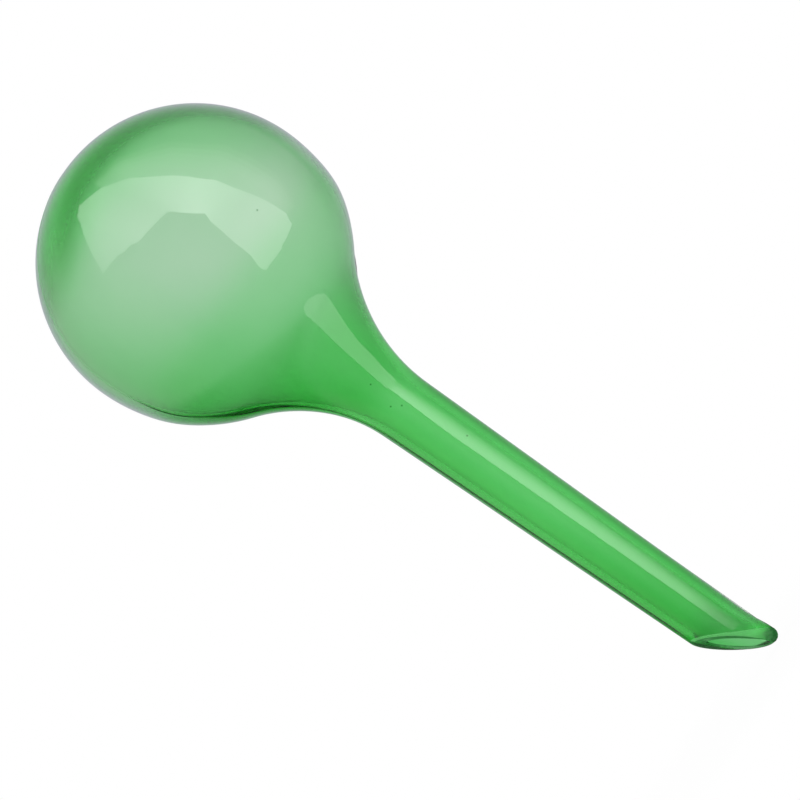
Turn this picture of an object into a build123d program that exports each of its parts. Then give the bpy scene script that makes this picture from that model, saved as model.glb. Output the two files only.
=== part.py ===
"""Watering globe: a hollow plastic ball on a tapered stem, filled through the stem and pushed into soil.

The vessel is two half shells that meet on a plane through the axis, joined there by a bead in a groove.
Its wall is thin round the globe and thick down the stem, and the end of the stem is cut off at a slant.

Frame: the axis is Z with the globe up, the point of the stem at z = 0, and the seam in the plane y = 0.
The point of the slant is on the +X side, and the front half is on the -Y side.
"""

import os
from math import atan2, cos, degrees, radians, sin, sqrt, tan

from build123d import *

# Driving sizes, in millimetres and degrees
globe_diameter = 68.0  # outside
overall_length = 182.0  # from the crown of the globe to the point of the stem
stem_tip_diameter = 12.0  # outside, level with the point
stem_draft = 0.82  # taper of the stem, on each side
front_flare_radius = 37.0  # outside, the hollow curve from the globe into the stem
rear_flare_radius = 32.0
rear_fullness = 2.4  # how much rounder than the globe the rear half is below its equator, in radius
globe_wall = 0.8
mouth_wall = 1.8  # level with the point
mouth_length = 24.0  # straight bore behind the mouth, measured up from the point
slant_angle = 36.0  # between the cut and the axis
point_flat = 0.9  # blunt end of the point, along X
bead_width = 0.8  # weld bead, and the groove that it fills
bead_height = 0.25  # above the front half
groove_depth = 0.3
bead_stop = 1.5  # from the bead's ends to the cut

# Sizes that follow from those
globe_radius = globe_diameter / 2
globe_height = overall_length - globe_radius
tip_radius = stem_tip_diameter / 2
mouth_radius = tip_radius - mouth_wall
draft = radians(stem_draft)
slant = radians(slant_angle)
taper = tan(draft)
stem_wall = mouth_wall + mouth_length * taper
point_loss = point_flat / (tan(slant) + taper)  # what the blunt end takes off a sharp point
spare = stem_tip_diameter + point_loss  # stem below the point, which the slant takes off


def half_section(ball, shoulder, flare, tip):
    """Half of a lengthwise section: a ball, the shoulder below its equator, the flare and the stem."""
    up_stem = Vector(sin(draft), cos(draft))
    off_stem = Vector(cos(draft), -sin(draft))
    shoulder_centre = Vector(ball - shoulder, globe_height)

    # The flare touches the stem's side and the shoulder, so its centre is one flare radius off both.
    below = Vector(tip, 0) + off_stem * flare - shoulder_centre
    depth = below.dot(up_stem)
    climb = -depth - sqrt(depth**2 - below.dot(below) + (shoulder + flare) ** 2)
    to_flare = below + up_stem * climb
    flare_centre = shoulder_centre + to_flare
    lean = degrees(atan2(to_flare.Y, to_flare.X))
    stem_top = flare_centre - off_stem * flare

    with BuildSketch(Plane.XZ) as section:
        with BuildLine():
            CenterArc((0, globe_height), ball, 90, -90)
            CenterArc((shoulder_centre.X, shoulder_centre.Y), shoulder, 0, lean)
            CenterArc((flare_centre.X, flare_centre.Y), flare, lean + 180, -lean - stem_draft)
            Polyline(
                (stem_top.X, stem_top.Y),
                (tip - spare * taper, -spare),
                (0, -spare),
                (0, globe_height + ball),
            )
        make_face()
    return section.sketch


def front_section(swell=0.0):
    """The front half's outside in section, swollen by a distance."""
    ball = globe_radius + swell
    return half_section(ball, ball, front_flare_radius - swell, tip_radius + swell / cos(draft))


def rear_section():
    return half_section(globe_radius, globe_radius + rear_fullness, rear_flare_radius, tip_radius)


def bore():
    """The hollow inside: one surface for both halves, ending in the straight bore of the mouth."""
    inner_globe = globe_radius - globe_wall
    inner_tip = mouth_radius - mouth_length * taper
    hollow = half_section(inner_globe, inner_globe, front_flare_radius + stem_wall, inner_tip)
    mouth = Pos(0, 0, -spare) * Cylinder(
        mouth_radius, spare + mouth_length, align=(Align.CENTER, Align.CENTER, Align.MIN)
    )
    return revolve(hollow, Axis.Z, 360) + mouth


def above_slant(body, setback=0.0):
    """What is left of a body above the slant, or above a plane that far inside it."""
    point = Vector(tip_radius - point_loss * taper, 0, -point_loss)
    inward = Vector(cos(slant), 0, sin(slant))
    return split(body, Plane(origin=point + inward * setback, z_dir=inward), keep=Keep.TOP)


def seam_slice(swell):
    """A slice of the front form along the seam, as thick as the bead is wide."""
    section = front_section(swell)
    return extrude(section + mirror(section, Plane.YZ), bead_width / 2, both=True)


def seam_groove():
    """The space along the seam outside the floor of the groove, which the bead sits in."""
    plate = Pos(0, 0, globe_height) * Box(2 * globe_diameter, bead_width, 2 * (globe_height + spare))
    return above_slant(plate - seam_slice(-groove_depth), bead_stop)


def half_shell(section, side):
    """One half of the hollow vessel, with the slanted mouth, the blunt point and half of the groove."""
    half = split(revolve(section, Axis.Z, 360) - bore(), Plane.XZ, keep=side)
    return split(above_slant(half), Plane.XY, keep=Keep.TOP) - seam_groove()


def seam_weld():
    """The bead, which stands a little above the front half and stops short of the slant at both ends."""
    return above_slant(seam_slice(bead_height) - seam_slice(-groove_depth), bead_stop)


os.makedirs("parts", exist_ok=True)
nodes = {
    "front_half_shell": half_shell(front_section(), Keep.TOP),
    "rear_half_shell": half_shell(rear_section(), Keep.BOTTOM),
    "seam_weld": seam_weld(),
}
for name, body in nodes.items():
    export_step(body, f"parts/{name}.step")
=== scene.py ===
from math import atan2, cos, exp, pi, radians, sin, sqrt, tan

import bmesh
import bpy
from mathutils import Matrix, Vector


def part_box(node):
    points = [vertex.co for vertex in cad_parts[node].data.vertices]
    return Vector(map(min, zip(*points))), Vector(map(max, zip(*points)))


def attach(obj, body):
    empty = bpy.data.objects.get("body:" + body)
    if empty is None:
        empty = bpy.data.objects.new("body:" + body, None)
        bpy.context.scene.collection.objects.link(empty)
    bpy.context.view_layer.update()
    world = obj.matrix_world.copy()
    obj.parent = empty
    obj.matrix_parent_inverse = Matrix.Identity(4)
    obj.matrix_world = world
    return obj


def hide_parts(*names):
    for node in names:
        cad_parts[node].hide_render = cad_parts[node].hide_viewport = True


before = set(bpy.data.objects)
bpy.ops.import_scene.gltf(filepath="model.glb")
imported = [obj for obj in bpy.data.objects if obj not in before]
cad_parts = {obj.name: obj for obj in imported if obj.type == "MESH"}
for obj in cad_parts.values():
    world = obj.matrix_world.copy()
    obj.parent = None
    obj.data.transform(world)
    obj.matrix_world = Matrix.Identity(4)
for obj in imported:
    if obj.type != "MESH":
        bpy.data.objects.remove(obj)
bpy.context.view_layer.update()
mm = 0.001

# the vessel's own sizes, as the solids have them, and then what is added to its walls here
vessel = {
    "tipRadius": 6.0 * mm,  # outside, level with the point
    "draft": radians(0.82),
    "frontFlare": 37.0 * mm,
    "rearFlare": 32.0 * mm,
    "rearFullness": 2.4 * mm,  # the rear half is this much rounder under the globe
    "globeWallAndShade": 0.8 * mm,
    "mouthWall": 1.8 * mm,
    "mouthLength": 24.0 * mm,  # straight bore behind the mouth
    "slant": radians(36.0),
    "pointFlat": 0.9 * mm,
    "beadHeight": 0.25 * mm,
    "underSkin": 0.02 * mm,  # keeps the globe inside the solid's facets
    "frontSwells": [(0.45 * mm, 15.5 * mm, 6.5 * mm),  # height, place below the globe's middle, and reach
                    (-0.1 * mm, 27.0 * mm, 6.0 * mm)],
    "rearSwells": [(0.2 * mm, 15.5 * mm, 6.5 * mm), (0.26 * mm, 35.0 * mm, 10.0 * mm)],
    "crownExtra": 0.7 * mm,  # the wall thickens towards the crown
    "crownPower": 3,
    "bandExtra": 1.05 * mm,  # and by the seam there, more on one side
    "bandSide": (0.29, -0.117, 0.95),
    "bandGrows": (6.0 * mm, 22.0 * mm),  # that far to the side
    "bandFades": (0.25, 0.72),  # globe radii from the seam
}
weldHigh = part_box("seam_weld")[1]
globeRadius = weldHigh.x - vessel["beadHeight"] - vessel["underSkin"]
globeHeight = weldHigh.z - vessel["beadHeight"] - vessel["underSkin"] - globeRadius
globeMiddle = Vector((0, 0, globeHeight))
taper = tan(vessel["draft"])
mouthRadius = vessel["tipRadius"] - vessel["mouthWall"]
stemWall = vessel["mouthWall"] + vessel["mouthLength"] * taper
pointLoss = vessel["pointFlat"] / (tan(vessel["slant"]) + taper)  # what the blunt end takes off
print("frame loaded, globe radius", round(globeRadius / mm, 2), "at", round(globeHeight / mm, 2), "mm")


def smooth(value, low, high):
    share = min(max((value - low) / (high - low), 0.0), 1.0)
    return share * share * (3 - 2 * share)


# a socket that can be written into sums
class Shade:
    def __init__(self, tree, socket=None):
        self.tree = tree
        self.socket = socket

    def add(self, kind, settings=None, sockets=None, out=0):
        node = self.tree.nodes.new("ShaderNode" + kind)
        for name, value in (settings or {}).items():
            setattr(node, name, value)
        for name, value in (sockets or {}).items():
            if isinstance(value, Shade):
                self.tree.links.new(value.socket, node.inputs[name])
            else:
                node.inputs[name].default_value = value
        return Shade(self.tree, node.outputs[out] if node.outputs else None)

    def maths(self, operation, first, second):
        return self.add("Math", {"operation": operation}, {0: first, 1: second})

    def __add__(self, other):
        return self.maths("ADD", self, other)

    def __radd__(self, other):
        return self.maths("ADD", other, self)

    def __sub__(self, other):
        return self.maths("SUBTRACT", self, other)

    def __rsub__(self, other):
        return self.maths("SUBTRACT", other, self)

    def __mul__(self, other):
        return self.maths("MULTIPLY", self, other)

    def __rmul__(self, other):
        return self.maths("MULTIPLY", other, self)

    def __rpow__(self, other):
        return self.maths("POWER", other, self)

    def spread(self, low, high, toLow=0.0, toHigh=1.0):  # smooth step from low to high
        return self.add("MapRange", {"interpolation_type": "SMOOTHSTEP"},
                        {"Value": self, "From Min": low, "From Max": high, "To Min": toLow, "To Max": toHigh})

    def fade(self, low, high):  # the same step, downwards
        return self.spread(low, high, 1.0, 0.0)

    def mix(self, factor, first, second):  # one colour towards another
        return self.add("Mix", {"data_type": "RGBA"}, {0: factor, 6: first, 7: second}, 2)

    def tint(self, factor, colour):
        return self.mix(factor, self, colour)

    def part(self, axis):  # x, y or z of a place
        return self.add("SeparateXYZ", sockets={0: self}, out=axis)

    def towards(self, side):  # how far a place lies to that side
        return self.add("VectorMath", {"operation": "DOT_PRODUCT"}, {0: self, 1: side}, 1)

    def noise(self, look):
        return self.add("TexNoise", sockets={"Vector": self, **look})


def emptied(owner):
    owner.use_nodes = True
    owner.node_tree.nodes.clear()
    return Shade(owner.node_tree)


def newMaterial(name):
    material = bpy.data.materials.new(name)
    return material, emptied(material)


# green plastic: what it absorbs is the same all through it, so thick walls come out deeper
plastic = {
    "absorbs": (330.0, 20.0, 285.0),  # per metre of red, green and blue
    "deepens": (520.0, 100.0, 450.0),  # the same for the streaks and thick places in the skin, and for the painted shade
    "globeGrey": 0.82,  # what one wall lets through, apart from its colour
    "stemGrey": 0.845,
    "mouthGrey": 0.04,  # and what it loses near the mouth
    "edgeShadeGrey": 0.62,  # painted shade where the stem is seen edge on
    "boreShadeGrey": 0.42,  # painted shade inside the rear half, just behind the slant
    "globeExtra": -0.05,  # millimetres of wall more than is modelled, down to cloudExtra; the edge and bore ones are painted shade
    "neckExtra": 0.86,
    "stemExtra": 0.48,
    "mouthExtra": 0.55,
    "pointShare": 0.3,  # of that at the very point
    # painted shade, deeper green where the stem is seen edge on
    "edgeShadeExtra": 0.05,
    # painted shade, deeper green in the bore behind the slant
    "boreShadeExtra": 0.8,
    "crescentExtra": 0.7,  # the rear half, where it stands out under the globe
    "farSeam": 0.8,  # along the seam over the far side of the globe
    "streak": 0.45,  # a flow streak down the near side
    "cloudExtra": 0.12,
    "shadeSide": (-0.76, 0.307, -0.57),  # painted shade: the globe is drawn deeper green towards this side, the lower side of the picture
    "shadeGain": 14.0,  # millimetres of wall, as painted shade, for each metre that way
    "shadeCurve": 800.0,  # and for each metre squared
    "lightSideGain": 18.0,  # the other way the globe is drawn paler below the equator, as painted light
    "lightSideEnd": -12.0 * mm,
    # painted shade: the stem is drawn deeper green towards its lower side
    "shadedStemSide": (-0.927, 0.375, 0.0),
    "stemShadeGain": 130.0,  # millimetres of painted shade for each metre towards that side of the stem
    "mouthShadeGain": 80.0,  # and more of them near the mouth
    "streakAlong": (0.719, -0.695, 0.0),
    "streakAcross": (0.695, 0.719, 0.0),
    "outsideGrain": 0.03,  # roughness outside, inside and on the parting faces
    "insideGrain": 0.30,
    "partingGrain": 0.0,
    "pressedGrain": 0.3,  # and along the edges that the blade pressed
    "pressedDeep": (0.03, 0.19, 0.045, 1.0),
    "pressedPale": (0.11, 0.38, 0.14, 1.0),
    "paintedCutHighlight": (0.20, 0.72, 0.23, 1.0),  # painted highlight where the front half's cut edge catches the light
    "white": (1.0, 1.0, 1.0, 1.0),
    "ior": 1.5,
    "rimGloss": 0.9,  # coat round the globe's edge
    "waves": 0.06,  # bump of the moulded skin
    "waveDepth": 1.0 * mm,
    "skinNoise": {"Scale": 70.0, "Detail": 2.0, "Roughness": 0.45},
    "tearNoise": {"Scale": 420.0, "Detail": 3.0, "Roughness": 0.6},
    "cloudNoise": {"Scale": 1.0, "Detail": 4.0, "Roughness": 0.6},
    "cloudStretch": (60.0, 60.0, 22.0),
}
# where all that sets in and fades out
zones = {
    "globeMelt": (globeHeight - 44 * mm, globeHeight - 24 * mm),  # heights
    "globeSkin": (globeHeight - 1.05 * globeRadius, globeHeight - 0.35 * globeRadius),
    "lowHalf": (globeHeight - 12 * mm, globeHeight + 2 * mm),
    "neckFoot": (globeHeight - 55 * mm, globeHeight - 42 * mm),
    "neckTop": (globeHeight - 36 * mm, globeHeight - 14 * mm),
    "stemMelt": (globeHeight - 46 * mm, globeHeight - 28 * mm),
    "stemSkin": (globeHeight - 57 * mm, globeHeight - 44 * mm),
    "mouth": (10 * mm, 60 * mm),
    "point": (9 * mm, 20 * mm),
    "slant": (12 * mm, 22 * mm),
    "streakFoot": (globeHeight - 20 * mm, globeHeight - 6 * mm),
    "streakTop": (globeHeight + 2 * mm, globeHeight + 13 * mm),
    "streakFrom": (12 * mm, 22 * mm),  # distances
    "streakHalf": (0.4 * mm, 2.8 * mm),
    "farSeamFrom": (8 * mm, 24 * mm),
    "farSeamHalf": (0.3 * mm, 2.8 * mm),
    "crescentTop": (globeHeight - 17 * mm, globeHeight - 9 * mm),
    "crescentEnd": (-14 * mm, -8 * mm),
    "crescentRear": (0.3 * mm, 2.0 * mm),
    "boreRear": (0.3 * mm, 1.5 * mm),
    "highlightFront": (-1.0 * mm, 0.5 * mm),
    "joined": (0.004, 0.02),  # values of the grain, the rim, the facing and the noises
    "outside": (0.05, 0.2),
    "cutHighlight": (0.6, 0.8),
    "stemEdge": (0.12, 0.6),
    "globeEdge": (0.55, 0.85),
    "cloud": (0.30, 0.75),
    "tear": (0.45, 0.75),
}
specks = {
    "places": [(4.42, -20.49, 174.77), (0.56, -11.0, 180.16), (4.27, -33.31, 142.8), (1.39, -30.59, 133.23),
               (-3.16, -8.14, 102.67), (-3.97, -6.39, 96.51), (-2.56, -6.92, 94.71), (0.24, -7.12, 79.73)],
    "radius": 0.24 * mm,
    "core": 0.5,  # share of the radius that is solid
    "colour": (0.02, 0.10, 0.02, 1.0),
    "perMetre": 95.0,  # smaller ones, scattered
    "smallRadius": 0.16 * mm,
}


def speckMask(shade, place):
    scattered = shade.add("TexVoronoi", sockets={"Vector": place, "Scale": specks["perMetre"]})
    nearest = scattered * (specks["radius"] / specks["smallRadius"] / specks["perMetre"])
    for spot in specks["places"]:
        spotPlace = [c * mm for c in spot]
        away = shade.add("VectorMath", {"operation": "DISTANCE"}, {0: place, 1: spotPlace}, 1)
        nearest = shade.maths("MINIMUM", nearest, away)
    return nearest.fade(specks["core"] * specks["radius"], specks["radius"])


def underSeam(place):
    # the crescent of the rear half that stands out under the globe
    crescent = place.part(1).spread(*zones["crescentRear"]) * place.part(0).fade(*zones["crescentEnd"])
    return crescent * place.part(2).fade(*zones["crescentTop"])


# deeper green towards the globe's lower side and paler towards its upper side below the equator: painted
# shade and light
def globeWallAndShade(shade, place, height):
    fromGlobe = shade.add("VectorMath", {"operation": "SUBTRACT"}, {0: place, 1: globeMiddle})
    down = fromGlobe.towards(plastic["shadeSide"])
    shadeSideReach = shade.maths("MAXIMUM", down, 0.0)
    thin = shade.maths("MAXIMUM", shade.maths("MINIMUM", down, 0.0), plastic["lightSideEnd"])
    globeShadeTint = shadeSideReach * (plastic["shadeGain"] + plastic["shadeCurve"] * shadeSideReach) \
        + plastic["lightSideGain"] * height.fade(*zones["lowHalf"]) * thin
    globe = globeShadeTint + plastic["globeExtra"] + plastic["crescentExtra"] * underSeam(place)
    return globe * height.spread(*zones["globeMelt"])


def seamAndStreak(shade, place, height):
    offSeam = shade.maths("ABSOLUTE", place.part(1), 0.0)
    farSeam = offSeam.fade(*zones["farSeamHalf"]) * place.part(0).spread(*zones["farSeamFrom"])
    offStreak = shade.maths("ABSOLUTE", place.towards(plastic["streakAcross"]), 0.0)
    along = place.towards(plastic["streakAlong"]).spread(*zones["streakFrom"])
    upright = height.spread(*zones["streakFoot"]) * height.fade(*zones["streakTop"])
    streak = offStreak.fade(*zones["streakHalf"]) * along * upright
    return plastic["farSeam"] * farSeam + plastic["streak"] * streak


# the stem's and mouth's extra wall, with painted shade towards the stem's lower side
def stemWallAndShade(shade, place, height):
    mouthShare = height.fade(*zones["mouth"])
    toShadedSide = shade.maths("MAXIMUM", place.towards(plastic["shadedStemSide"]), 0.0)
    stem = plastic["stemExtra"] + (plastic["stemShadeGain"] + plastic["mouthShadeGain"] * mouthShare) * toShadedSide
    mouthMelt = mouthShare * height.spread(*zones["point"], plastic["pointShare"], 1.0)
    return stem * height.fade(*zones["stemMelt"]) + plastic["mouthExtra"] * mouthMelt


def wallAndShade(shade, place, height):
    # millimetres of plastic beyond the modelled wall, for thick places, streaks and clouds, and painted shade
    # towards the lower side of the globe and stem
    neck = height.spread(*zones["neckFoot"]) * height.fade(*zones["neckTop"])
    drawn = shade.add("Mapping", sockets={"Vector": place, "Scale": plastic["cloudStretch"]})
    cloud = drawn.noise(plastic["cloudNoise"]).spread(*zones["cloud"])
    return globeWallAndShade(shade, place, height) + seamAndStreak(shade, place, height) \
        + stemWallAndShade(shade, place, height) + plastic["neckExtra"] * neck + plastic["cloudExtra"] * cloud


def clearSkin(shade, place, grain):
    height = place.part(2)
    onGlobe = height.spread(*zones["globeSkin"])
    outside = grain.fade(*zones["outside"])
    facing = shade.add("LayerWeight", sockets={"Blend": 0.5}, out=1)
    # painted shade: darker and deeper green where the stem is seen edge on
    edgeShade = facing.spread(*zones["stemEdge"]) * outside * height.fade(*zones["stemSkin"])
    # painted shade in the bore behind the slant, seen through the opening
    inRear = place.part(1).spread(*zones["boreRear"]) * (1 - outside)
    shadedBore = height.fade(*zones["slant"]) * inRear
    extra = wallAndShade(shade, place, height) \
        + plastic["edgeShadeExtra"] * edgeShade + plastic["boreShadeExtra"] * shadedBore
    grey = plastic["stemGrey"] + (plastic["globeGrey"] - plastic["stemGrey"]) * onGlobe \
        - plastic["mouthGrey"] * height.fade(*zones["mouth"])
    grey = grey * (1 - plastic["edgeShadeGrey"] * edgeShade - plastic["boreShadeGrey"] * shadedBore)
    red, green, blue = [exp(-a * mm) for a in plastic["deepens"]]  # what one millimetre lets through
    body = shade.add("CombineColor", sockets={
        0: grey * red ** extra, 1: grey * green ** extra, 2: grey * blue ** extra})
    body = body.tint(speckMask(shade, place), specks["colour"])
    body = body.tint(grain.fade(*zones["joined"]), plastic["white"])  # nothing is lost where the halves join

    rimGloss = plastic["rimGloss"] * facing.spread(*zones["globeEdge"]) * outside * onGlobe
    bump = shade.add("Bump", sockets={
        "Strength": plastic["waves"],
        "Distance": plastic["waveDepth"],
        "Height": place.noise(plastic["skinNoise"]),
    })
    return shade.add("BsdfPrincipled", sockets={
        "Base Color": body,
        "Roughness": grain,
        "IOR": plastic["ior"],
        "Transmission Weight": 1.0,
        "Coat Weight": rimGloss * (1 - underSeam(place)),
        "Normal": bump,
    })


# cut edges of rough streaky plastic, with a painted highlight along the front half's edge
def pressedSkin(shade, place, rim):
    tears = place.noise(plastic["tearNoise"]).spread(*zones["tear"])
    cutHighlight = rim.fade(*zones["cutHighlight"]) * place.part(1).fade(*zones["highlightFront"])
    pressed = shade.mix(tears, plastic["pressedDeep"], plastic["pressedPale"])
    return shade.add("BsdfPrincipled", sockets={
        "Base Color": pressed.tint(cutHighlight, plastic["paintedCutHighlight"]),
        "Roughness": plastic["pressedGrain"],
        "Specular IOR Level": 0.0,
    })


def shellPlastic(name):
    material, shade = newMaterial(name)
    place = shade.add("TexCoord", out=3)
    grain = shade.add("Attribute", {"attribute_name": "grain"}, out=2)
    rim = shade.add("Attribute", {"attribute_name": "rim"}, out=2)
    surface = shade.add("MixShader", sockets={
        0: rim, 1: clearSkin(shade, place, grain), 2: pressedSkin(shade, place, rim)})
    most = max(plastic["absorbs"])
    absorbed = shade.add("VolumeAbsorption", sockets={
        "Color": (*[1.0 - a / most for a in plastic["absorbs"]], 1.0),
        "Density": most,
    })
    shade.add("OutputMaterial", sockets={"Surface": surface, "Volume": absorbed})
    return material


shellSkin = shellPlastic("shell_green")
print("plastic mixed")


# half shells: a row of points from the crown down the outside, round the cut and back up the inside
mesh = {
    "crownRows": 40,
    "shoulderRows": 30,
    "flareRows": 26,
    "stemRows": 40,
    "cornerSteps": 6,
    "columns": 56,  # between the seam's own columns
    "overlap": 0.02 * mm,  # each half runs this far into the other, so that they look fused
    "sharpOver": radians(40),
    "angleDigits": 9,  # angles that agree so far share a column's path
}
mouth = {
    "lower": 0.08 * mm,  # the slant sits this much lower than the solid's, and its edges are rounded
    "frontRound": (1.5 * mm, 1.5 * mm, 1.5 * mm),  # at the point, heel and side
    "rearRound": (1.5 * mm, 1.5 * mm, 0.5 * mm),
    "boreRound": 0.3 * mm,
    "lip": 0.3 * mm,  # the blade pressed the edge of the bore inwards
    "frontLip": 0.95 * mm,  # and more at the sides
    "rearLip": 0.8 * mm,
    "lipReach": 6.0 * mm,
    "pointFlare": 0.72 * mm,  # the blade bent the point outwards
    "flareFades": (3.0 * mm, 9.5 * mm),
    "frontRim": (0.9, 0.6, 0.58),  # how much the pressed edge shows, at the point, heel and side
    "rearRim": (0.92, 0.9, 0.88),
    "frontFlat": (0.75, 0.75, 0.78),
    "rearFlat": (0.6, 0.5, 0.3),
    "boreRim": 0.85,
}
seam = {
    "columns": [0.0, 0.08, 0.16, 0.26, 0.38, 0.50, 0.65, 0.85, 1.15],  # millimetres from the seam
    "fullAt": 6.0 * mm,  # below this radius the columns close up towards the crown
    "ridgeHeight": 0.13 * mm,
    "ridgeAt": 0.42 * mm,
    "ridgeWidth": 0.24 * mm,
    "edgeDrop": 0.14 * mm,
    "edgeReach": 0.22 * mm,
    "fades": (globeHeight - 14 * mm, globeHeight - 2 * mm),
    "faintness": 0.08,  # over the globe, and all along the other side
}


def halfOf(side):
    # side is -1 for the half towards the camera and 1 for the other
    return "front" if side < 0 else "rear"


def outward(along):
    return Vector((-along.y, along.x)).normalized()


def arcRows(centre, radius, start, end, rows):
    turns = [start + (end - start) * k / rows for k in range(rows + 1)]
    return [Vector((centre[0] + radius * cos(a), centre[1] + radius * sin(a))) for a in turns]


def sideRows(ball, shoulder, flare, tip):
    # the flare touches the stem's side and the shoulder, so its centre is one flare radius off both
    draft = vessel["draft"]
    upStem = Vector((sin(draft), cos(draft)))
    offStem = Vector((cos(draft), -sin(draft)))
    shoulderCentre = Vector((ball - shoulder, globeHeight))
    below = Vector((tip, 0.0)) + offStem * flare - shoulderCentre
    depth = below.dot(upStem)
    climb = -depth - sqrt(depth ** 2 - below.dot(below) + (shoulder + flare) ** 2)
    toFlare = below + upStem * climb
    lean = atan2(toFlare.y, toFlare.x)
    rows = arcRows((0.0, globeHeight), ball, pi / 2, 0.0, mesh["crownRows"])
    rows += arcRows(shoulderCentre, shoulder, 0.0, lean, mesh["shoulderRows"])[1:]
    rows += arcRows(shoulderCentre + toFlare, flare, lean + pi, pi - draft, mesh["flareRows"])[1:]
    return rows


def outerRows(shoulder, flare, swells):
    rows = sideRows(globeRadius, shoulder, flare, vessel["tipRadius"])
    for k in range(1, len(rows) - 1):
        depth = globeHeight - rows[k].y
        grown = sum(height * exp(-((depth - place) / reach) ** 2) for height, place, reach in swells)
        rows[k] += outward(rows[k + 1] - rows[k - 1]) * grown
    return rows


def innerRows():
    ball = globeRadius - vessel["globeWallAndShade"]
    rows = sideRows(ball, ball, vessel["frontFlare"] + stemWall, mouthRadius - vessel["mouthLength"] * taper)
    for k in range(mesh["crownRows"]):
        lift = sin(pi / 2 * (1 - k / mesh["crownRows"]))
        fromCentre = rows[k] - Vector((0.0, globeHeight))
        rows[k] -= fromCentre.normalized() * vessel["crownExtra"] * lift ** vessel["crownPower"]
    return rows


frontSide = outerRows(globeRadius, vessel["frontFlare"], vessel["frontSwells"])
rearSide = outerRows(globeRadius + vessel["rearFullness"], vessel["rearFlare"], vessel["rearSwells"])
insideSide = innerRows()


def roundCorner(before, corner, after, radius):
    steps = mesh["cornerSteps"]
    toBefore = (before - corner).normalized()
    toAfter = (after - corner).normalized()
    half = toBefore.angle(toAfter) / 2
    centre = corner + (toBefore + toAfter).normalized() * (radius / sin(half))
    first = corner + toBefore * (radius / tan(half)) - centre
    last = corner + toAfter * (radius / tan(half)) - centre
    turn = first.angle_signed(last)
    return [centre + Matrix.Rotation(-turn * k / steps, 2) @ first for k in range(steps + 1)]


def stemRadius(height, angle):
    flare = mouth["pointFlare"] * max(0.0, cos(angle)) ** 2
    return vessel["tipRadius"] + height * taper + flare * (1 - smooth(height, *mouth["flareFades"]))


def cutCorners(angle, lip):
    # where the slant meets the outside and the bore on the column at this angle
    slope = cos(angle) / tan(vessel["slant"])
    low = pointLoss + mouth["lower"]
    base = -low + (vessel["tipRadius"] - low * taper) / tan(vessel["slant"])
    outRadius = stemRadius(0.0, angle)
    outZ = (base - outRadius * slope) / (1 + taper * slope)
    lipRadius = mouthRadius - lip
    return Vector((outRadius + outZ * taper, outZ)), Vector((lipRadius, base - lipRadius * slope))


def roundTheCut(angle, atPoint, atHeel, atSide):
    # a value that changes on the way round the cut, from the point past the side to the heel
    towardsEnd = cos(angle) ** 2
    return atSide + ((atPoint if cos(angle) > 0 else atHeel) - atSide) * towardsEnd


def rimAt(step, angle, side):
    # how much the pressed edge shows, by the row of faces from the outside to the bore
    steps = mesh["cornerSteps"]
    if 0 <= step < steps:
        return roundTheCut(angle, *mouth[halfOf(side) + "Rim"])
    if step == steps:
        return roundTheCut(angle, *mouth[halfOf(side) + "Flat"])
    return mouth["boreRim"] if steps < step <= 2 * steps else 0.0


def boreAt(height, lip):
    return mouthRadius - lip + max(0.0, height - vessel["mouthLength"]) * taper


def columnPath(outside, angle, side):
    lip = mouth["lip"] + mouth[halfOf(side) + "Lip"] * sin(angle) ** 2
    outCorner, inCorner = cutCorners(angle, lip)
    outRadius = roundTheCut(angle, *mouth[halfOf(side) + "Round"])
    outRound = roundCorner(outCorner + Vector((taper, 1.0)), outCorner, inCorner, outRadius)
    inRound = roundCorner(outCorner, inCorner, inCorner + Vector((0.0, 1.0)), mouth["boreRound"])
    downStem = []
    upStem = []
    for k in range(1, mesh["stemRows"]):
        height = outside[-1].y + (outRound[0].y - outside[-1].y) * k / mesh["stemRows"]
        downStem.append(Vector((stemRadius(height, angle), height)))
    for k in range(mesh["stemRows"] - 1, 0, -1):
        height = insideSide[-1].y + (inRound[-1].y - insideSide[-1].y) * k / mesh["stemRows"]
        fade = 1 - smooth(height - inRound[-1].y, 0.0, mouth["lipReach"])
        upStem.append(Vector((boreAt(height, lip * fade), height)))
    return outside + downStem + outRound + inRound + upStem + insideSide[::-1]


def columnAngles(radius):
    close = mm / max(radius, seam["fullAt"])
    edge = [d * close for d in seam["columns"]]
    middle = [edge[-1] + (pi - 2 * edge[-1]) * k / mesh["columns"] for k in range(1, mesh["columns"])]
    return edge + middle + [pi - a for a in reversed(edge)]


def shellGrid(outside, side):
    # the section's point and its angle, for every row and column
    angleRows = [columnAngles(point.x) for point in columnPath(outside, 0.0, side)]
    grid = [[] for _ in angleRows]
    for column in range(len(angleRows[0])):
        paths = {}
        for row, angles in enumerate(angleRows):
            key = round(angles[column], mesh["angleDigits"])
            if key not in paths:
                paths[key] = columnPath(outside, angles[column], side)
            grid[row].append((paths[key][row], angles[column]))
    return grid


def seamStrength(height, angle):
    if angle < pi / 2:
        return seam["faintness"]
    return 1.0 - (1.0 - seam["faintness"]) * smooth(height, *seam["fades"])


def seamShape(distance, ridge):
    shape = -seam["edgeDrop"] * max(0.0, 1 - distance / seam["edgeReach"]) ** 2
    if ridge:
        shape += seam["ridgeHeight"] * exp(-((distance - seam["ridgeAt"]) / seam["ridgeWidth"]) ** 2)
    return shape


def raised(grid, row, column, ridge):
    # a point of the outside, moved by the shape of the seam
    point, angle = grid[row][column]
    out = outward(grid[row + 1][column][0] - grid[row - 1][column][0])
    distance = point.x * min(angle, pi - angle)
    fade = seamStrength(point.y, angle) * min(1.0, point.x / seam["fullAt"])
    return point + out * seamShape(distance, ridge) * fade


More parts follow.
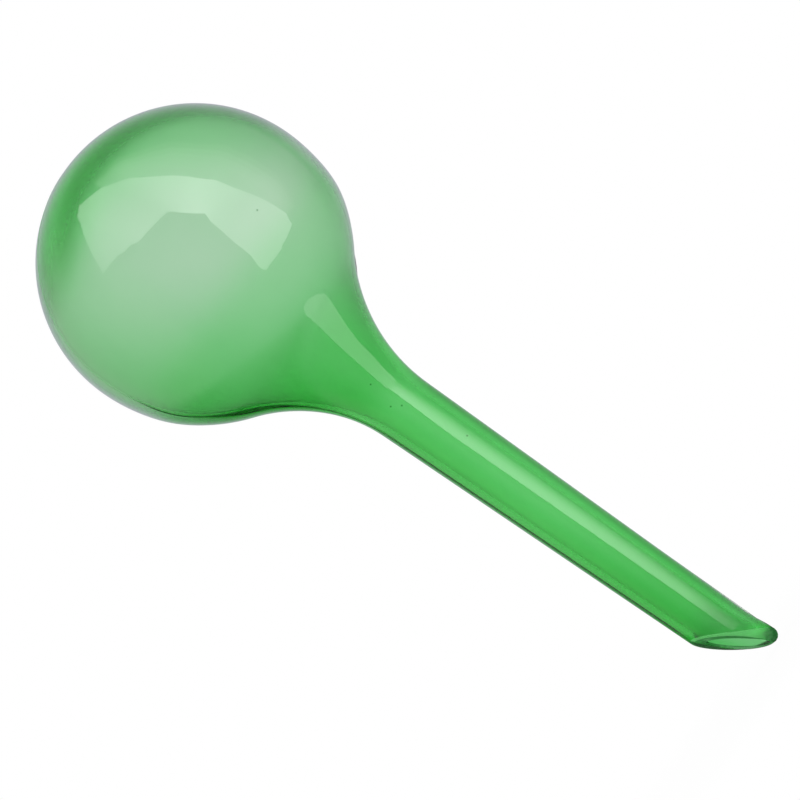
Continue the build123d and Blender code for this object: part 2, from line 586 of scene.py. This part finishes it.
def thickened(spot):
    # a point of the inside, moved in where the wall is thicker by the seam
    fromMiddle = spot - globeMiddle
    share = smooth(fromMiddle.dot(Vector(vessel["bandSide"])), *vessel["bandGrows"])
    share *= 1 - smooth(abs(spot.y), *[s * globeRadius for s in vessel["bandFades"]])
    return spot - fromMiddle.normalized() * vessel["bandExtra"] * share


def halfShell(name, outside, side, ridge):
    grid = shellGrid(outside, side)
    rowCount = len(grid)
    columnCount = len(grid[0])
    outerCount = len(outside) + mesh["stemRows"] - 1
    bm = bmesh.new()
    grain = bm.faces.layers.float.new("grain")
    rim = bm.faces.layers.float.new("rim")
    verts = []
    for row in range(rowCount):
        line = []
        pole = row in (0, rowCount - 1)
        for column in range(1 if pole else columnCount):
            point, angle = grid[row][column]
            r, z = raised(grid, row, column, ridge) if 0 < row < outerCount else point
            spot = Vector((r * cos(angle), side * r * sin(angle), z))
            if row >= rowCount - len(insideSide):
                spot = thickened(spot)
            if pole or column in (0, columnCount - 1):
                spot.y = -side * mesh["overlap"]
            line.append(bm.verts.new(spot))
        verts.append(line * columnCount if pole else line)

    for row in range(rowCount - 1):
        inside = row >= rowCount - outerCount - 1
        for column in range(columnCount - 1):
            corners = [verts[row][column], verts[row][column + 1],
                       verts[row + 1][column + 1], verts[row + 1][column]]
            face = bm.faces.new(list(dict.fromkeys(corners)))
            face[grain] = plastic["insideGrain"] if inside else plastic["outsideGrain"]
            face[rim] = rimAt(row - outerCount, grid[row][column][1], side)
    for column in (0, columnCount - 1):  # the flat parting faces on both sides
        for row in range(rowCount // 2 - 1):
            face = bm.faces.new([verts[row][column], verts[row + 1][column],
                                 verts[rowCount - 2 - row][column], verts[rowCount - 1 - row][column]])
            face[grain] = plastic["partingGrain"]
    bmesh.ops.recalc_face_normals(bm, faces=bm.faces)
    return finishMesh(name, bm, shellSkin)


def finishMesh(name, bm, material):
    for face in bm.faces:
        face.smooth = True
    for edge in bm.edges:
        edge.smooth = len(edge.link_faces) != 2 or edge.calc_face_angle() < mesh["sharpOver"]
    data = bpy.data.meshes.new(name)
    bm.to_mesh(data)
    bm.free()
    data.materials.append(material)
    piece = bpy.data.objects.new(name, data)
    bpy.context.scene.collection.objects.link(piece)
    return piece


def dress(piece, node):
    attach(piece, "root")
    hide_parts(node)
    print(piece.name, len(piece.data.polygons), "faces")


dress(halfShell("frontHalf", frontSide, -1, True), "front_half_shell")
dress(halfShell("rearHalf", rearSide, 1, False), "rear_half_shell")


# weld: a bead in the corner between the halves, from the slant round over the crown, coloured near black as
# painted shade of the groove there
weld = {
    "halfWidth": 0.15 * mm,
    "stemHeight": 0.12 * mm,  # half heights along the seam
    "neckHeight": 0.24 * mm,
    "faintHeight": 0.05 * mm,  # over the globe, and all along the other side
    "sunk": 0.5,  # how much of it sits under the front half's skin
    "neckGrows": (globeHeight - 44 * mm, globeHeight - 30 * mm),
    "fades": (globeHeight - 13 * mm, globeHeight - 3 * mm),  # it sinks into the globe between these heights
    "stopShort": 4.3 * mm,
    "endRings": 2,  # it closes over these
    "endBlunt": 0.15,
    "sides": 12,
    # near-black greens: painted shade of the groove between the halves, darkest at the neck
    "stemShadeColour": (0.020, 0.200, 0.034, 1.0),
    "neckShadeColour": (0.003, 0.080, 0.008, 1.0),
    "cloudColour": (0.008, 0.130, 0.016, 1.0),
    "thinColour": (0.24, 0.53, 0.26, 1.0),  # where hardly any bead stands up
    "shadeDarkens": (globeHeight - 62 * mm, globeHeight - 40 * mm),
    "thinFrom": (-3 * mm, 3 * mm),
    "cloudShare": 0.5,
    "cloudNoise": {"Scale": 160.0, "Detail": 3.0},
    "grain": 0.4,
    "grainVaries": 0.15,
    "gloss": 0.2,
}


def weldPlastic(name):
    material, shade = newMaterial(name)
    place = shade.add("TexCoord", out=3)
    height = place.part(2)
    cloud = place.noise(weld["cloudNoise"])
    thin = shade.maths("MAXIMUM", place.part(0).spread(*weld["thinFrom"]), height.spread(*weld["fades"]))
    # painted shade: near black towards the neck
    body = shade.mix(height.spread(*weld["shadeDarkens"]), weld["stemShadeColour"], weld["neckShadeColour"])
    body = body.tint(weld["cloudShare"] * cloud, weld["cloudColour"])
    surface = shade.add("BsdfPrincipled", sockets={
        "Base Color": body.tint(thin, weld["thinColour"]),
        "Roughness": weld["grain"] + weld["grainVaries"] * cloud,
        "IOR": plastic["ior"],
        "Specular IOR Level": weld["gloss"],
    })
    shade.add("OutputMaterial", sockets={"Surface": surface})
    return material


def weldHalfHeight(across, height):
    if across > 0:
        return weld["faintHeight"]
    neck = smooth(height, *weld["neckGrows"])
    globe = smooth(height, *weld["fades"])
    low = weld["stemHeight"] + (weld["neckHeight"] - weld["stemHeight"]) * neck
    return low + (weld["faintHeight"] - low) * globe


def weldLine():
    # along the front half's edge, from the heel over the crown to the point
    line = []
    for angle in (pi, 0.0):
        outCorner = cutCorners(angle, mouth["lip"])[0]
        foot = outCorner + (frontSide[-1] - outCorner).normalized() * weld["stopShort"]
        stem = [frontSide[-1].lerp(foot, k / mesh["stemRows"]) for k in range(1, mesh["stemRows"] + 1)]
        half = [Vector((cos(angle) * p.x, p.y)) for p in frontSide + stem]
        line += half[:0:-1] if angle else half
    return line


def weldBead(name):
    line = weldLine()
    last = len(line) - 1
    bm = bmesh.new()
    rings = []
    for k, point in enumerate(line):
        out = outward(line[min(k + 1, last)] - line[max(k - 1, 0)])
        tall = weldHalfHeight(point.x, point.y)
        wide = min(weld["halfWidth"], tall)
        ends = min(1.0, (min(k, last - k) + weld["endBlunt"]) / weld["endRings"])
        centre = point + out * tall * (1 - 2 * weld["sunk"])
        ring = []
        for n in range(weld["sides"]):
            turn = 2 * pi * n / weld["sides"]
            spot = centre + out * (tall * ends * sin(turn))
            ring.append(bm.verts.new((spot.x, wide * ends * cos(turn), spot.y)))
        rings.append(ring)
    for ring, after in zip(rings, rings[1:]):
        for n in range(weld["sides"]):
            bm.faces.new([ring[n], ring[n - 1], after[n - 1], after[n]])
    bm.faces.new(rings[0])
    bm.faces.new(rings[-1])
    bmesh.ops.recalc_face_normals(bm, faces=bm.faces)
    return finishMesh(name, bm, weldPlastic("seam_weld_painted_shade"))


dress(weldBead("seamBead"), "seam_weld")


# camera: level with the stem and rolled, as the photograph has it
view = {
    "turn": radians(-22.0),  # round the axis from the front
    "roll": radians(34.873),  # the axis falls this far below level, to the right
    "target": (0.97 * mm, 95.7 * mm),  # middle of the picture, to the side and up the axis
    "width": 170.0 * mm,  # what the picture spans at the object
    "distance": 1.6,
    "sensor": 36.0,
    "clipEnd": 20.0,
}
upAxis = Vector((0, 0, 1))
sideways = Vector((cos(view["turn"]), sin(view["turn"]), 0.0))
pictureRight = sideways * sin(view["roll"]) - upAxis * cos(view["roll"])
pictureUp = sideways * cos(view["roll"]) + upAxis * sin(view["roll"])
pictureBack = pictureRight.cross(pictureUp)
camera = bpy.data.objects.new("camera", bpy.data.cameras.new("camera"))
bpy.context.scene.collection.objects.link(camera)
camera.data.sensor_width = view["sensor"]
camera.data.lens = view["sensor"] * view["distance"] / view["width"]
camera.data.clip_end = view["clipEnd"]
middle = sideways * view["target"][0] + upAxis * view["target"][1]
turned = Matrix((pictureRight, pictureUp, pictureBack)).transposed().to_4x4()
camera.matrix_world = Matrix.Translation(middle + pictureBack * view["distance"]) @ turned
bpy.context.scene.camera = camera
print("camera set")


def alongStem(points):
    # places along and across the axis, as places right and up
    turned = cos(view["roll"]), sin(view["roll"])
    return [(a * turned[0] - b * turned[1], -a * turned[1] - b * turned[0]) for a, b in points]


# softboxes: laid out by where they show on the vessel, in globe radii right and up from the globe's middle,
# with the glow along each and across it
archOuter = [(-0.577, -0.071), (-0.624, 0.015), (-0.671, 0.109), (-0.702, 0.190), (-0.738, 0.297),
             (-0.726, 0.360), (-0.593, 0.469), (-0.405, 0.535), (-0.123, 0.548), (0.127, 0.518),
             (0.252, 0.468), (0.378, 0.422), (0.472, 0.375), (0.566, 0.313), (0.606, 0.241), (0.534, 0.080)]
softboxes = {
    "archSoftbox": {
        "inner": [(-0.577, -0.071), (-0.546, -0.032), (-0.483, 0.047), (-0.405, 0.109), (-0.327, 0.156),
                  (-0.248, 0.250), (-0.201, 0.305), (-0.155, 0.322), (-0.061, 0.313), (0.065, 0.305),
                  (0.096, 0.260), (0.159, 0.203), (0.268, 0.109), (0.346, 0.047), (0.393, -0.022),
                  (0.440, -0.047)],
        "outer": archOuter,
        "away": 30.0 * mm,
        "strength": 3.0,
        "along": [0.6, 0.8, 1.0, 0.92, 1.65, 1.1, 1.02, 0.95],
        "across": [1.0, 1.0, 1.0, 1.0, 1.0, 1.0],
    },
    "archSpill": {  # above the top of the arch
        "inner": archOuter[6:14],
        "outer": [(-0.643, 0.509), (-0.495, 0.654), (-0.171, 0.761), (0.181, 0.739), (0.356, 0.660),
                  (0.500, 0.559), (0.579, 0.460), (0.647, 0.358)],
        "away": 30.0 * mm,
        "strength": 1.7,
        "along": [0.7, 1.0, 1.0, 1.0, 1.0, 0.8, 0.5],
        "across": [1.0, 1.0, 0.98, 0.9, 0.72, 0.45],
    },
    "neckCard": {  # cards close to the skin, for the highlights down the neck and stem
        "inner": [(0.700, -0.229), (0.675, -0.282), (0.691, -0.323), (0.785, -0.407), (0.863, -0.486),
                  (0.957, -0.573), (1.087, -0.688), (1.199, -0.786)],
        "outer": [(0.760, -0.194), (0.810, -0.191), (0.847, -0.235), (0.926, -0.360), (1.004, -0.470),
                  (1.112, -0.582), (1.192, -0.672), (1.290, -0.765)],
        "away": 2.0 * mm,
        "strength": 2.4,
        "along": [0.55, 0.7, 0.85, 1.0, 1.2],
        "across": [1.0, 1.0, 1.0, 1.0, 1.0, 1.0],
    },
    "stemCard": {
        "inner": alongStem([(1.44, -0.048), (1.60, -0.043), (1.90, -0.034), (2.60, -0.034), (3.40, -0.034),
                            (4.08, -0.031)]),
        "outer": alongStem([(1.44, -0.118), (1.60, -0.125), (1.90, -0.135), (2.60, -0.135), (3.40, -0.135),
                            (4.08, -0.12)]),
        "away": 2.0 * mm,
        "strength": 4.4,
        "along": [0.9, 1.0, 1.0, 1.0, 1.0, 1.0, 1.0, 1.0, 0.9, 0.3],
        "across": [1.0, 1.0, 0.9, 0.68, 0.42, 0.18],
    },
}
panels = {
    "steps": 60,  # along each
    "reach": 1.1,  # globe radii towards the camera, where the search for the skin starts
    "halvings": 40,
    "slopeStep": 0.3 * mm,
    "aslant": (0.35, 0.7),  # where a panel's glow fades to its sides
}


def alongLine(points, share):
    place = share * (len(points) - 1)
    k = min(int(place), len(points) - 2)
    return Vector(points[k]).lerp(Vector(points[k + 1]), place - k)


def skinRadius(height):
    if height < frontSide[-1].y:
        return stemRadius(height, pi / 2)
    for high, low in zip(frontSide, frontSide[1:]):
        if low.y <= height <= high.y:
            return low.x + (high.x - low.x) * (height - low.y) / (high.y - low.y)
    return 0.0


def lightSpot(spot, away):
    # where a lamp has to be for the front half to mirror it at this spot of the picture
    aim = globeMiddle + (pictureRight * spot.x + pictureUp * spot.y) * globeRadius
    line = (aim - camera.matrix_world.translation).normalized()
    outer, inner = -panels["reach"] * globeRadius, 0.0
    for _ in range(panels["halvings"]):
        half = (outer + inner) / 2
        point = aim + line * half
        if point.xy.length < skinRadius(point.z):
            inner = half
        else:
            outer = half
    point = aim + line * inner
    step = panels["slopeStep"]
    slope = (skinRadius(point.z + step) - skinRadius(point.z - step)) / (2 * step)
    normal = Vector((*point.xy.normalized(), -slope)).normalized()
    return point + line.reflect(normal) * away


def seenInGlossOnly(thing):
    thing.visible_camera = False
    thing.visible_diffuse = False
    thing.visible_transmission = False
    thing.visible_shadow = False


def panelLight(name, strength):
    material, shade = newMaterial(name)
    lit = shade.add("Attribute", {"attribute_name": "glow"}, out=2)
    behind = shade.add("NewGeometry", out=6)  # nothing comes off a panel's back, and little to its sides
    aslant = shade.add("LayerWeight", sockets={"Blend": 0.5}, out=1).fade(*panels["aslant"])
    glow = shade.add("Emission", sockets={"Color": lit * (1 - behind) * aslant, "Strength": strength})
    shade.add("OutputMaterial", sockets={"Surface": glow})
    return material


def softboxPanel(name, inner, outer, away, strength, along, across):
    bm = bmesh.new()
    glowing = bm.faces.layers.float.new("glow")
    strips = len(across)
    lines = []
    for k in range(panels["steps"] + 1):
        share = k / panels["steps"]
        start, end = alongLine(inner, share), alongLine(outer, share)
        spots = [lightSpot(start.lerp(end, n / strips), away) for n in range(strips + 1)]
        lines.append([bm.verts.new(spot) for spot in spots])
    for k, (line, after) in enumerate(zip(lines, lines[1:])):
        level = alongLine([(g, 0.0) for g in along], (k + 0.5) / panels["steps"]).x
        for n in range(strips):
            face = bm.faces.new([line[n], line[n + 1], after[n + 1], after[n]])
            face[glowing] = level * across[n]
    panel = finishMesh(name, bm, panelLight(name + "_light", strength))
    seenInGlossOnly(panel)


for boxName, box in softboxes.items():
    softboxPanel(boxName, **box)
print("softboxes hung")


# grey cloth round the set, which only the gloss shows: it gives the clear plastic its darker edges
cloth = {
    "radius": 0.9,
    "fineness": 4,
    "floorGap": 0.02 * mm,
    "middle": (0.0, 0.0, 0.09),  # the sides are told from here
    "grey": (0.47, 0.47, 0.53, 1.0),
    "paper": (0.8, 0.8, 0.8, 1.0),  # towards the lower left of the picture
    "paperSide": -0.8 * pictureRight - 0.6 * pictureUp,
    "paperSpan": (0.45, 0.8),
    "shadow": (0.10, 0.10, 0.10, 1.0),  # under the neck and round the foot
    "shadowSide": -0.3 * sideways - 0.8 * upAxis - 0.52 * pictureBack,
    "shadowSpan": (0.62, 0.82),
}


def clothGlow(name):
    material, shade = newMaterial(name)
    place = shade.add("TexCoord", out=3)
    fromMiddle = shade.add("VectorMath", {"operation": "SUBTRACT"}, {0: place, 1: cloth["middle"]})
    ahead = shade.add("VectorMath", {"operation": "NORMALIZE"}, {0: fromMiddle})
    colour = cloth["grey"]
    for patch in ("paper", "shadow"):
        share = ahead.towards(cloth[patch + "Side"]).spread(*cloth[patch + "Span"])
        colour = shade.mix(share, colour, cloth[patch])
    glow = shade.add("Emission", sockets={"Color": colour, "Strength": 1.0})
    shade.add("OutputMaterial", sockets={"Surface": glow})
    return material


def hangCloth(name):
    bm = bmesh.new()
    bmesh.ops.create_icosphere(bm, subdivisions=cloth["fineness"], radius=cloth["radius"])
    for vert in bm.verts:
        vert.co.z = max(vert.co.z, cloth["floorGap"])
    tent = finishMesh(name, bm, clothGlow("cloth_grey"))
    seenInGlossOnly(tent)


hangCloth("greyCloth")
print("cloth hung")


# floor and white surroundings
studio = {
    "floorHalf": 3.0,
    "floorDrop": 0.05 * mm,
    "floorColour": (0.9, 0.9, 0.9, 1.0),
    "whiteNear": 0.97,  # how white the floor looks by the object, so that its shadow shows
    "whitens": (0.05, 0.12),
    "white": (1.0, 1.0, 1.0, 1.0),
    "ambient": 0.9,
    "bounces": 24,  # light runs a long way inside clear walls
    "glossBounces": 16,
}


def seenRays(shade):
    # 1 where the camera looks straight at it, or by way of gloss or clear plastic
    straight = shade.add("LightPath", out=0)
    glossy = shade.add("LightPath", out=3)
    through = shade.add("LightPath", out=6)
    return shade.add("Clamp", sockets={"Value": straight + glossy + through})


def floorPlane(name):
    bm = bmesh.new()
    bmesh.ops.create_grid(bm, x_segments=1, y_segments=1, size=studio["floorHalf"])
    material, shade = newMaterial("floor_white")
    place = shade.add("TexCoord", out=3)
    far = shade.add("VectorMath", {"operation": "LENGTH"}, {0: place}, 1)
    white = far.spread(*studio["whitens"], studio["whiteNear"], 1.0)
    paper = shade.add("BsdfDiffuse", sockets={"Color": studio["floorColour"]})
    glow = shade.add("Emission", sockets={"Strength": 1.0})
    surface = shade.add("MixShader", sockets={0: seenRays(shade) * white, 1: paper, 2: glow})
    shade.add("OutputMaterial", sockets={"Surface": surface})
    floor = finishMesh(name, bm, material)
    floor.location.z = -studio["floorDrop"]


def whiteWorld(name):
    world = bpy.data.worlds.new(name)
    bpy.context.scene.world = world
    sky = emptied(world)
    level = studio["ambient"] + (1 - studio["ambient"]) * seenRays(sky)
    background = sky.add("Background", sockets={"Strength": level, "Color": studio["white"]})
    sky.add("OutputWorld", sockets={"Surface": background})


floorPlane("floor")
whiteWorld("studio")
bpy.context.scene.view_settings.view_transform = "Standard"
cycles = bpy.context.scene.cycles
cycles.max_bounces = studio["bounces"]
cycles.transmission_bounces = studio["bounces"]
cycles.glossy_bounces = studio["glossBounces"]
print("studio lit")
